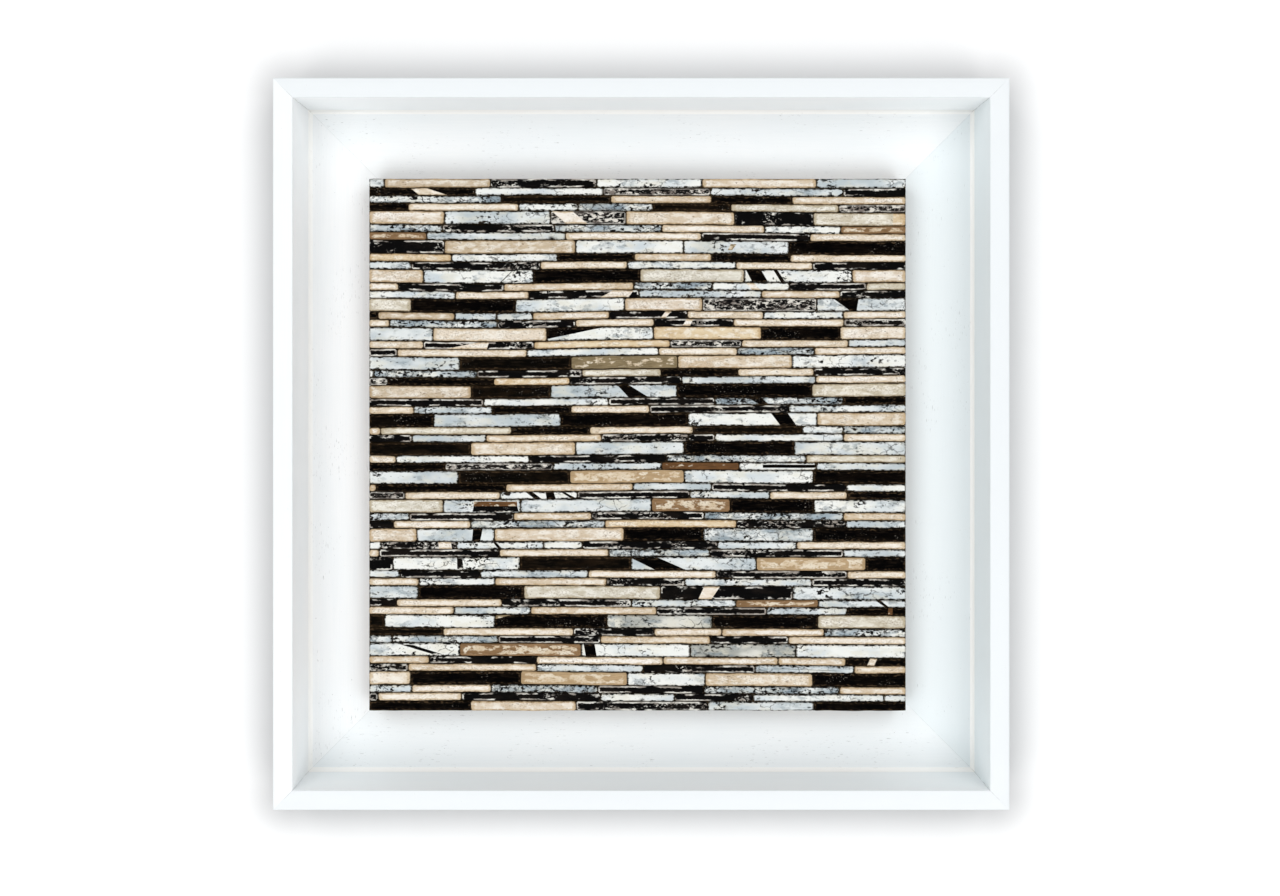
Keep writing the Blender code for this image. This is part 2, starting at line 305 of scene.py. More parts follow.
def new_effect(name, inputs, output):
    """Starts a node group and gives its nodes, its inputs and its output node."""
    tree = bpy.data.node_groups.new(name, "ShaderNodeTree")
    for socket, value in inputs.items():
        kind = "NodeSocketVector" if isinstance(value, tuple) else "NodeSocketFloat"
        made = tree.interface.new_socket(socket, in_out="INPUT", socket_type=kind)
        made.default_value = value
    tree.interface.new_socket(output, in_out="OUTPUT", socket_type="NodeSocketFloat")
    given = tree.nodes.new("NodeGroupInput").outputs
    return Nodes(tree), given, tree.nodes.new("NodeGroupOutput")


def stretched(nodes, given):
    """The place on a surface, shrunk to the size of a blot and drawn out along the piece."""
    apart = nodes.add("SeparateXYZ", {0: given["Place"]}).outputs
    length = nodes.maths("MULTIPLY", given["Size"], given["Stretch"])
    inputs = {
        "X": nodes.maths("DIVIDE", apart["X"], length),
        "Y": nodes.maths("DIVIDE", apart["Y"], given["Size"]),
        "Z": nodes.maths("ADD", apart["Z"], given["Shift"]),
    }
    return nodes.add("CombineXYZ", inputs).outputs[0]


def make_blots():
    """Blots: 1 inside and 0 outside. A lower level gives more of them."""
    inputs = {"Place": (0, 0, 0), "Size": 5.0, "Stretch": 1.0, "Level": 0.5, "Softness": 0.1, "Shift": 0.0}
    nodes, given, result = new_effect("blots", inputs, "Mask")
    texture = {"Vector": stretched(nodes, given), "Scale": 1.0, "Detail": 3.0, "Roughness": 0.55}
    cloud = nodes.add("TexNoise", texture).outputs["Fac"]
    start = nodes.maths("SUBTRACT", given["Level"], given["Softness"])
    end = nodes.maths("ADD", given["Level"], given["Softness"])
    nodes.fill(result, {0: nodes.ramp(cloud, start, end)})


def make_ragged_edge():
    """1 within a width of an edge, along a line that wanders in and out."""
    inputs = {
        "Distance": 0.0,
        "Place": (0, 0, 0),
        "Width": 0.5,
        "Wander": 0.3,
        "Size": 1.5,
        "Stretch": 2.0,
        "Softness": 0.1,
        "Shift": 0.0,
    }
    nodes, given, result = new_effect("ragged_edge", inputs, "Mask")
    texture = {"Vector": stretched(nodes, given), "Scale": 1.0, "Detail": 3.0, "Roughness": 0.6}
    cloud = nodes.add("TexNoise", texture).outputs["Fac"]
    shift = nodes.maths("MULTIPLY", nodes.maths("SUBTRACT", cloud, 0.5), given["Wander"])
    line = nodes.maths("ADD", given["Width"], nodes.maths("MULTIPLY", shift, 4.0))
    start = nodes.maths("SUBTRACT", line, given["Softness"])
    end = nodes.maths("ADD", line, given["Softness"])
    outside = nodes.ramp(given["Distance"], start, end)
    nodes.fill(result, {0: nodes.maths("SUBTRACT", 1.0, outside)})


def make_cracks():
    """Thin lines between irregular cells, as in old paint."""
    inputs = {"Place": (0, 0, 0), "Size": 6.0, "Stretch": 1.0, "Width": 0.02, "Shift": 0.0}
    nodes, given, result = new_effect("cracks", inputs, "Mask")
    place = stretched(nodes, given)
    cloud = nodes.add("TexNoise", {"Vector": place, "Scale": 1.6, "Detail": 2.0}).outputs["Color"]
    bend = nodes.add("VectorMath", {0: cloud, "Scale": 0.9}, operation="SCALE").outputs[0]
    bent = nodes.add("VectorMath", {0: place, 1: bend}, operation="ADD").outputs[0]
    cells = nodes.add("TexVoronoi", {"Vector": bent, "Scale": 1.0}, feature="DISTANCE_TO_EDGE")
    inside = nodes.ramp(cells.outputs["Distance"], 0.0, given["Width"])
    nodes.fill(result, {0: nodes.maths("SUBTRACT", 1.0, inside)})


def make_strip_rim():
    """How far a place on a strip is from the edge of its front with rounded corners, in millimetres.

    The ends count as nearer by the squeeze, so that what follows the rim is wider there.
    """
    nodes, given, result = new_effect("strip_rim", {"Squeeze": 1.0}, "Distance")
    place = nodes.add("Attribute", attribute_name="strip_place").outputs["Vector"]
    reach = nodes.add("Attribute", attribute_name="strip_size").outputs["Vector"]
    here = nodes.add("SeparateXYZ", {0: place}).outputs
    size = nodes.add("SeparateXYZ", {0: reach}).outputs
    near_end = nodes.maths("MINIMUM", here["X"], nodes.maths("SUBTRACT", size["X"], here["X"]))
    near_end = nodes.maths("DIVIDE", near_end, given["Squeeze"])
    near_side = nodes.maths("MINIMUM", here["Y"], nodes.maths("SUBTRACT", size["Y"], here["Y"]))
    inputs = {
        "X": nodes.maths("SUBTRACT", RIM_CORNER, near_end, clamp=True),
        "Y": nodes.maths("SUBTRACT", RIM_CORNER, near_side, clamp=True),
    }
    corner = nodes.add("CombineXYZ", inputs).outputs[0]
    from_corner = nodes.add("VectorMath", {0: corner}, operation="LENGTH").outputs["Value"]
    nearest = nodes.maths("MINIMUM", near_end, near_side)
    further = nodes.maths("MAXIMUM", nodes.maths("SUBTRACT", nearest, RIM_CORNER), 0.0)
    edge = nodes.maths("SUBTRACT", RIM_CORNER, from_corner)
    nodes.fill(result, {0: nodes.maths("ADD", edge, further)})


class StripPaint:
    """What the finishes of the strips share: where they are, and blots and edges in millimetres."""

    def __init__(self, nodes):
        self.nodes = nodes
        self.place = nodes.add("Attribute", attribute_name="strip_place").outputs["Vector"]
        self.rim = nodes.effect("strip_rim", {})
        self.wide_ended_rim = nodes.effect("strip_rim", {"Squeeze": WIDE_ENDS})
        size = nodes.add("Attribute", attribute_name="strip_size").outputs["Vector"]
        self.tone = nodes.add("SeparateXYZ", {0: size}).outputs["Z"]
        self.luck = nodes.maths("FRACT", nodes.maths("MULTIPLY", self.tone, LUCK_SEED), 0.0)
        self.shift = 0.0

    def blots(self, size, stretch, level, softness):
        self.shift += PATTERN_STEP
        return self.nodes.blots(self.place, size, stretch, level, softness, self.shift)

    def edge(self, width, wander, softness, size=1.5, wide_ended=False):
        self.shift += PATTERN_STEP
        return self.nodes.effect(
            "ragged_edge",
            {
                "Distance": self.wide_ended_rim if wide_ended else self.rim,
                "Place": self.place,
                "Width": width,
                "Wander": wander,
                "Softness": softness,
                "Size": size,
                "Shift": self.shift,
            },
        )

    def cracks(self, size, width):
        self.shift += PATTERN_STEP
        inputs = {"Place": self.place, "Size": size, "Stretch": CRACK_STRETCH}
        return self.nodes.effect("cracks", {**inputs, "Width": width, "Shift": self.shift})

    def part(self, mask, share):
        """A share of a mask, which may be another mask."""
        return self.nodes.maths("MULTIPLY", mask, share)

    def less(self, mask, taken):
        """A mask with another taken out of it."""
        return self.nodes.maths("SUBTRACT", mask, taken, clamp=True)

    def either(self, *masks):
        """Wherever one of the masks is."""
        most = masks[0]
        for mask in masks[1:]:
            most = self.nodes.maths("MAXIMUM", most, mask)
        return most

    def between(self, chance, low, high):
        """A number that goes from low to high with a chance of the strip's own."""
        return self.nodes.spread(chance, low, high)


def rubbed_white(strip, light, cloudy, cloud_level, wear):
    """White paint over black, cloudy, rubbed through at the rim and in clusters of chips."""
    coat = strip.nodes.coat
    colour = coat(strip.blots(18, 2.0, cloud_level, 0.13), light, cloudy)
    colour = coat(strip.part(strip.blots(7, 2.2, 0.57, 0.11), 0.50), colour, paint(226, 221, 202))
    bruised = strip.blots(12, 1.8, strip.between(strip.tone, wear + 0.04, wear - 0.04), 0.06)
    smudges = strip.part(strip.blots(3.6, 1.8, 0.50, 0.06), bruised)
    colour = coat(strip.part(smudges, 0.55), colour, paint(126, 140, 148))
    dots = strip.part(strip.blots(1.5, 1.6, 0.60, 0.03), bruised)
    colour = coat(strip.part(dots, 0.70), colour, paint(66, 68, 68))
    colour = coat(strip.part(strip.edge(0.75, 0.40, 0.25), 0.40), colour, paint(128, 118, 98))
    clusters = strip.blots(15, 1.5, strip.between(strip.luck, wear + 0.05, wear - 0.04), 0.05)
    bites = strip.edge(-0.05, strip.part(clusters, 2.2), 0.07, 2.0)
    chips = strip.part(strip.blots(2.2, 1.5, 0.56, 0.02), clusters)
    specks = strip.blots(1.3, 1.4, 0.69, 0.02)
    lines = strip.part(strip.cracks(7, 0.06), strip.blots(17, 1.4, wear, 0.03))
    scallops = strip.edge(0.46, strip.between(strip.luck, 0.45, 1.0), 0.08, 1.4)
    worn = strip.either(scallops, bites, chips, specks, strip.part(lines, 0.8))
    under = coat(strip.blots(3, 2, 0.56, 0.06), paint(6, 6, 7), paint(42, 34, 26))
    under = coat(strip.part(strip.edge(0.34, 0.20, 0.14, 4.0), 0.85), under, paint(88, 80, 60))
    return coat(worn, colour, under), worn


def stained_cream(strip, light, shade, rim, stains):
    """Cream paint, darker along the rim and at the ends, with grain, pale patches and brown stains."""
    coat = strip.nodes.coat
    colour = coat(strip.blots(16, 2.2, strip.between(strip.tone, 0.58, 0.44), 0.12), light, shade)
    colour = coat(strip.between(strip.luck, 0.0, 0.30), colour, paint(222, 200, 160))
    colour = coat(strip.part(strip.blots(1.1, 7, 0.54, 0.12), 0.16), colour, rim)
    patches = strip.part(strip.blots(6, 2.6, stains - 0.06, 0.09), 0.55)
    colour = coat(patches, colour, rim)
    colour = coat(strip.part(strip.blots(3.6, 2.2, 0.53, 0.07), 0.50), colour, paint(252, 249, 240))
    speckle = strip.part(strip.blots(0.9, 1.7, 0.545, 0.05), strip.blots(14, 1.8, 0.49, 0.12))
    colour = coat(strip.part(speckle, 0.50), colour, paint(158, 140, 116))
    dots = strip.part(strip.blots(1.5, 1.8, 0.64, 0.03), strip.blots(12, 1.8, stains - 0.06, 0.06))
    colour = coat(strip.part(dots, 0.65), colour, paint(118, 92, 64))
    colour = coat(strip.part(strip.edge(1.10, 0.80, 0.42, 2.0, True), 0.86), colour, rim)
    colour = coat(strip.part(strip.edge(0.50, 0.46, 0.20, 1.5), 0.75), colour, paint(122, 96, 62))
    worn = strip.either(strip.edge(0.24, 0.22, 0.12), strip.blots(1.3, 1.5, 0.70, 0.02))
    return coat(strip.part(worn, 0.90), colour, paint(68, 52, 34)), worn


def bare_black(strip, core, glow, flecks):
    """Black, rubbed to brown in flecks towards the rim, with a few light flecks."""
    coat = strip.nodes.coat
    colour = coat(strip.part(strip.blots(7, 3, 0.58, 0.12), 0.35), core, glow)
    colour = coat(strip.part(strip.edge(1.1, 0.7, 0.6, 2.5), 0.50), colour, glow)
    rubbed = strip.part(strip.blots(1.2, 2.4, 0.555, 0.03), strip.edge(1.3, 0.9, 0.5, 3.0))
    colour = coat(strip.part(rubbed, 0.55), colour, paint(92, 74, 54))
    colour = coat(strip.part(strip.blots(0.9, 9, 0.60, 0.07), 0.20), colour, paint(58, 48, 38))
    bright = strip.part(strip.blots(0.9, 1.6, 0.66, 0.03), strip.blots(14, 1.5, flecks, 0.05))
    bright = strip.part(bright, 0.6)
    return coat(bright, colour, paint(178, 170, 158)), bright


def black_with_rim(strip, streaks, rim_kept):
    """Black, with whitish paint left as a thin line along the rim and, in places, in patches."""
    coat = strip.nodes.coat
    core = coat(strip.part(strip.blots(8, 2.5, 0.58, 0.10), 0.5), paint(3, 3, 4), paint(28, 22, 18))
    pale = coat(strip.blots(5, 2.0, 0.50, 0.08), paint(228, 225, 216), paint(158, 150, 141))
    outermost = strip.edge(0.32, 0.12, 0.08)
    kept = strip.blots(9, 2.0, strip.between(strip.tone, rim_kept + 0.06, rim_kept - 0.05), 0.03)
    line = strip.part(strip.edge(1.12, 0.50, 0.06, 1.1), kept)
    where = strip.blots(13, 1.6, strip.between(strip.luck, streaks + 0.08, streaks - 0.05), 0.04)
    patches = strip.part(strip.blots(2.1, 1.5, 0.53, 0.02), strip.edge(1.9, 0.9, 0.08, 2.0))
    left = strip.either(line, strip.part(strip.either(patches, strip.blots(1.3, 1.7, 0.60, 0.02)), where))
    left = strip.less(strip.part(left, 0.94), outermost)
    core = coat(strip.part(outermost, 0.45), core, paint(84, 76, 60))
    return coat(left, core, pale), left


def speckled_black(strip):
    """Black and greyish paint in about equal parts, finely broken."""
    coat = strip.nodes.coat
    core = coat(strip.part(strip.blots(6, 2, 0.55, 0.10), 0.6), paint(8, 8, 9), paint(46, 40, 36))
    pale = coat(strip.blots(5, 2.0, 0.54, 0.08), paint(222, 217, 207), paint(126, 117, 110))
    share = strip.blots(11, 1.5, 0.50, 0.10)
    blobs = strip.blots(2.3, 1.9, strip.between(share, 0.59, 0.50), 0.03)
    fine = strip.part(strip.blots(1.2, 2.0, 0.60, 0.03), 0.8)
    band = strip.part(strip.edge(0.90, 0.40, 0.12, 1.6), 0.50)
    left = strip.less(strip.either(blobs, fine, band), strip.edge(0.36, 0.20, 0.10))
    return coat(left, core, pale), left


def patchy_wood(strip, wood, grain, patches):
    """Bare brown wood, with cream paint left in patches in the middle."""
    coat = strip.nodes.coat
    under = coat(strip.part(strip.blots(1.0, 8, 0.53, 0.12), 0.50), wood, grain)
    under = coat(strip.part(strip.blots(9, 1.8, 0.50, 0.15), 0.35), under, grain)
    middle = strip.nodes.maths("SUBTRACT", 1.0, strip.edge(1.4, 0.8, 0.45, 2.2, True), clamp=True)
    left = strip.part(strip.blots(4.2, 2.0, patches, 0.04), middle)
    left = strip.less(left, strip.part(strip.blots(1.2, 1.6, 0.58, 0.04), 0.6))
    pale = coat(strip.blots(5, 2, 0.5, 0.12), paint(236, 225, 204), paint(218, 198, 168))
    worn = strip.edge(0.28, 0.24, 0.14)
    return coat(worn, coat(strip.part(left, 0.88), under, pale), paint(48, 36, 24)), worn


def bed(strip):
    """The brown grout between the strips."""
    coat = strip.nodes.coat
    colour = coat(strip.blots(7, 2.5, 0.50, 0.10), paint(36, 28, 19), paint(70, 57, 40))
    return colour, strip.blots(0.5, 1, 0.5, 0.2)


# Finish: its name, its function and the function's own values
FINISHES = {
    "w": ("white", rubbed_white, (paint(243, 244, 239), paint(208, 217, 221), 0.55, 0.59)),
    "v": ("bluish_white", rubbed_white, (paint(231, 235, 234), paint(190, 200, 204), 0.50, 0.59)),
    "x": ("chipped_white", rubbed_white, (paint(237, 239, 235), paint(156, 171, 180), 0.51, 0.46)),
    "g": ("greyed_white", rubbed_white, (paint(222, 221, 212), paint(164, 166, 160), 0.50, 0.55)),
    "c": ("cream", stained_cream, (paint(252, 246, 238), paint(240, 231, 220), paint(208, 187, 155), 0.61)),
    "d": ("buff", stained_cream, (paint(246, 239, 229), paint(232, 221, 206), paint(197, 172, 136), 0.54)),
    "e": ("dull", stained_cream, (paint(230, 219, 203), paint(213, 200, 180), paint(180, 156, 122), 0.56)),
    "y": ("ivory", stained_cream, (paint(236, 233, 221), paint(219, 215, 202), paint(184, 171, 144), 0.60)),
    "t": ("tan", stained_cream, (paint(236, 219, 188), paint(224, 203, 168), paint(198, 169, 128), 0.66)),
    "k": ("black", bare_black, (paint(0, 0, 1), paint(22, 15, 9), 0.58)),
    "n": ("brown_black", bare_black, (paint(5, 4, 3), paint(48, 35, 22), 0.60)),
    "s": ("black_with_rim", black_with_rim, (0.58, 0.50)),
    "r": ("speckled_black", speckled_black, ()),
    "b": ("brown_wood", patchy_wood, (paint(150, 118, 84), paint(106, 80, 52), 0.47)),
    "o": ("olive_wood", patchy_wood, (paint(146, 129, 98), paint(102, 88, 62), 0.55)),
    "p": ("tan_wood", patchy_wood, (paint(190, 163, 126), paint(158, 131, 96), 0.48)),
    "h": ("bare_wood", patchy_wood, (paint(112, 77, 45), paint(68, 46, 26), 0.585)),
    "bed": ("grout", bed, ()),
}

# How glossy each kind of finish is, and how deep the step is where its paint is off, or where
# paint is left on it if the step is below zero
SURFACES = {
    rubbed_white: (0.08, 0.00018),
    stained_cream: (0.08, 0.00012),
    bare_black: (0.01, -0.00008),
    black_with_rim: (0.03, -0.00014),
    speckled_black: (0.04, -0.00014),
    patchy_wood: (0.08, -0.00014),
    bed: (0.02, 0.00010),
}
STRIP_ROUGHNESS = (0.50, 0.72)
DIRT = 0.13


def strip_material(letter):
    """A strip finish: colour, a rougher look where the paint is off, and the step down to the wood."""
    name, finish, values = FINISHES[letter]
    gloss, depth = SURFACES[finish]
    material, nodes = new_material("strip_" + name)
    strip = StripPaint(nodes)
    colour, worn = finish(strip, *values)
    colour = nodes.coat(DIRT, colour, paint(18, 15, 11))
    height = nodes.maths("SUBTRACT", strip.part(strip.blots(0.5, 9, 0.5, 0.3), 0.18), worn)
    bump = nodes.add("Bump", {"Strength": 0.6, "Distance": abs(depth), "Height": height}, invert=depth < 0)
    uneven = strip.part(strip.blots(3, 2, 0.5, 0.25), 0.5)
    rough = nodes.maths("ADD", uneven, strip.part(worn, 0.5))
    nodes.surface(
        {
            "Base Color": colour,
            "Roughness": nodes.spread(rough, *STRIP_ROUGHNESS),
            "Normal": bump.outputs[0],
            "Specular IOR Level": gloss,
        }
    )
    return material


def courses_of(node):
    """The numbers of the courses in a node, from its name: every third course is a tall one."""
    kind, number = node.rsplit("_", 1)
    third = 3 * int(number)
    if kind == "tall_strips":
        return [0 if third == 3 else third - 2]
    return [1, 2, 3] if third == 3 else [third - 1, third]


def solid_of(node):
    """The solid of a node, with its corners merged and its flat faces whole."""
    shape = bmesh.new()
    shape.from_mesh(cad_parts[node].data)
    bmesh.ops.remove_doubles(shape, verts=shape.verts, dist=MERGE_DISTANCE)
    bmesh.ops.dissolve_limit(shape, angle_limit=FLAT, verts=shape.verts, edges=shape.edges)
    return shape


def strips_of(node):
    """The strips of a node as (course, number, low corner, high corner), read off its solid."""
    shape = solid_of(node)
    front_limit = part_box(node)[0].y + BED_SINK / 2
    fronts = [
        face
        for face in shape.faces
        if face.normal.y < -ALIGNED and face.calc_center_median().y < front_limit
    ]
    rows = {}
    grown = Vector((STRIP_ROUNDING, 0, STRIP_ROUNDING))
    for face in fronts:
        corners = [corner.co for corner in face.verts]
        low = Vector([min(corner[axis] for corner in corners) for axis in range(3)]) - grown
        high = Vector([max(corner[axis] for corner in corners) for axis in range(3)]) + grown
        rows.setdefault(round((low.z + high.z) / 2 / MM), []).append((low, high))
    shape.free()
    strips = []
    for course, row in zip(courses_of(node), sorted(rows, reverse=True)):
        for number, (low, high) in enumerate(sorted(rows[row], key=lambda corners: corners[0].x)):
            strips.append((course, number, low, high))
    return strips


def unevenness(point, size, seed):
    """Smooth unevenness about zero, for a surface or an edge that was worked by hand."""
    return noise.noise(Vector((point.x / size, point.z / size, seed)))


def box_shape(low, high):
    """A box between two corners."""
    shape = bmesh.new()
    place = Matrix.Translation((low + high) / 2) @ Matrix.Diagonal((*(high - low), 1))
    bmesh.ops.create_cube(shape, size=1.0, matrix=place)
    return shape


def cut(shape, point, normal):
    """Divides a shape's faces along a plane and keeps both sides."""
    everything = shape.verts[:] + shape.edges[:] + shape.faces[:]
    bmesh.ops.bisect_plane(shape, geom=everything, plane_co=point, plane_no=normal, dist=CUT_DISTANCE)


def round_off(shape, edges, radius, segments):
    """Rounds edges to a radius."""
    bmesh.ops.bevel(
        shape,
        geom=edges,
        offset=radius,
        offset_type="OFFSET",
        segments=segments,
        profile=0.5,
        affect="EDGES",
        material=-1,
    )


def mark_corners(mark, low, high):
    """The corners of a mark on a strip: lower left, upper left, upper right, lower right."""
    _, low_left, high_left, low_right, high_right, start, end, _ = mark
    bottom = low.z + (high.z - low.z) * start
    top = low.z + (high.z - low.z) * end
    panel_left = PANEL_BOX[0].x
    return [
        Vector((panel_left + low_left * MM, 0, bottom)),
        Vector((panel_left + high_left * MM, 0, top)),
        Vector((panel_left + high_right * MM, 0, top)),
        Vector((panel_left + low_right * MM, 0, bottom)),
    ]


def lay_marks(shape, course, low, high, slots):
    """Cuts the marks of a course into a strip and gives the faces in them the mark's finish."""
    for mark in MARKS:
        corners = mark_corners(mark, low, high)
        right_end = max(corner.x for corner in corners)
        left_end = min(corner.x for corner in corners)
        if mark[0] != course or right_end < low.x or left_end > high.x:
            continue
        sides = []
        for start, end in zip(corners, corners[1:] + corners[:1]):
            along = end - start
            sides.append((start, Vector((along.z, 0, -along.x)).normalized()))
        for point, normal in sides:
            cut(shape, point, normal)
        for face in shape.faces:
            middle = face.calc_center_median()
            if all((middle - point).dot(normal) > 0 for point, normal in sides):
                face.material_index = slots.index(mark[-1])


def sagged(point):
    """How far above their place in the solids the laid courses run, or below it if less than zero."""
    low, high = PANEL_BOX
    along = (point.x - low.x) / MM
    across = (point.x - low.x) / (high.x - low.x) - 0.5
    down = (high.z - point.z) / MM
    inside = min(1.0, (point.z - low.z) / SAG_FADE, (high.z - point.z) / SAG_FADE)
    fall = 0.0
    for (above, fall_above), (below, fall_below) in zip(COURSE_FALLS, COURSE_FALLS[1:]):
        if above <= down <= below:
            fall = fall_above + (fall_below - fall_above) * (down - above) / (below - above)
    drop = fall * across
    for bend_along, bend_down, reach_along, reach_down, most in COURSE_BENDS:
        away = math.hypot((along - bend_along) / reach_along, (down - bend_down) / reach_down)
        drop += most * math.exp(-away * away)
    wander = COURSE_WANDER * unevenness(point, COURSE_WAVE, COURSE_WAVE_SEED)
    return max(0.0, inside) * (wander - drop * MM)


def strip_layers(shape):
    """The layers that say where a corner is on its strip, and how big the strip is."""
    layers = shape.verts.layers.float_vector
    return layers.new("strip_place"), layers.new("strip_size")


def worn_strip(course, number, low, high, slots):
    """One strip, rooted in the grout: its corners and rim rounded, its face and edges uneven."""
    chance = random.Random(course * 31 + number)
    seed = course * COURSE_SEED + number * NUMBER_SEED
    front = low.y
    shape = box_shape(low, Vector((high.x, front + BED_SINK + BED_ROOT, high.z)))
    upright = [edge for edge in shape.edges if abs(edge.verts[0].co.y - edge.verts[1].co.y) > MM]
    round_off(shape, upright, chance.uniform(*CORNER_ROUNDING), 3)
    rim = [edge for edge in shape.edges if all(abs(end.co.y - front) < MERGE_DISTANCE for end in edge.verts)]
    round_off(shape, rim, RIM_ROUNDING, 2)
    stations = max(2, round((high.x - low.x) / STATION))
    for station in range(1, stations):
        cut(shape, (low.x + (high.x - low.x) * station / stations, 0, 0), (1, 0, 0))
    cut(shape, (0, 0, (low.z + high.z) / 2), (0, 0, 1))
    for face in shape.faces:
        face.material_index = slots.index(COURSE_FINISHES[course][number])
    lay_marks(shape, course, low, high, slots)
    place, size = strip_layers(shape)
    tone = chance.random()
    slant = [chance.uniform(-END_SLANT, END_SLANT) for _ in range(2)]
    for corner in shape.verts:
        corner[place] = Vector(((corner.co.x - low.x) / MM, (corner.co.z - low.z) / MM, seed))
        corner[size] = Vector(((high.x - low.x) / MM, (high.z - low.z) / MM, tone))
    for corner in shape.verts:
        here = corner.co.copy()
        across = (here.x - low.x) / (high.x - low.x)
        up = (here.z - low.z) / (high.z - low.z) - 0.5
        corner.co.z += EDGE_WANDER * unevenness(here, EDGE_WAVE, seed) * 2 * abs(up)
        corner.co.x += up * (slant[0] * (1 - across) + slant[1] * across)
        if here.y < front + RIM_ROUNDING / 2:
            corner.co.y += FACE_DIPS * (1 + unevenness(here, FACE_WAVE, seed + 0.5))
        corner.co.z += sagged(here)
    return shape


def grout_bed(node, slots):
    """The grout that the strips of a node stand in."""
    low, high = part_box(node)
    shape = box_shape(Vector((low.x, low.y + BED_SINK, low.z)), high)
    for station in range(1, GROUT_STATIONS):
        cut(shape, (low.x + (high.x - low.x) * station / GROUT_STATIONS, 0, 0), (1, 0, 0))
    place, size = strip_layers(shape)
    for face in shape.faces:
        face.material_index = slots.index("bed")
    for corner in shape.verts:
        corner[place] = Vector((corner.co.x / MM, corner.co.z / MM, 0))
        corner[size] = Vector(((high.x - low.x) / MM, (high.z - low.z) / MM, 0))
        corner.co.z += sagged(corner.co)
    return shape


def new_piece(name, shape, materials, sharp=20):
    """Makes an object from a bmesh, shaded smooth except over sharp edges, and frees the bmesh."""
    mesh = bpy.data.meshes.new(name)
    shape.to_mesh(mesh)
    shape.free()
    for material in materials:
        mesh.materials.append(material)
    mesh.shade_smooth()
    mesh.set_sharp_from_angle(angle=math.radians(sharp))
    piece = bpy.data.objects.new(name, mesh)
    bpy.context.collection.objects.link(piece)
    return piece


def join(shape, other):
    """Adds another bmesh to this one and frees it."""
    mesh = bpy.data.meshes.new("joined")
    other.to_mesh(mesh)
    other.free()
    shape.from_mesh(mesh)
    bpy.data.meshes.remove(mesh)


def build_strips():
    """Every node of strips, laid again with each strip's own wear and finish."""
    materials = {letter: strip_material(letter) for letter in FINISHES}
    for node in sorted(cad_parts):
        if not node.startswith(("tall_strips", "thin_strips")):
            continue
        strips = strips_of(node)
        used = {"bed"} | {COURSE_FINISHES[course][number] for course, number, _, _ in strips}
        used |= {mark[-1] for mark in MARKS if mark[0] in courses_of(node)}
        slots = sorted(used)
        shape = bmesh.new()
        strip_layers(shape)
        join(shape, grout_bed(node, slots))
        for course, number, low, high in strips:
            join(shape, worn_strip(course, number, low, high, slots))
        piece = new_piece("laid_" + node, shape, [materials[letter] for letter in slots])
        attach(piece, "root")
        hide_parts(node)


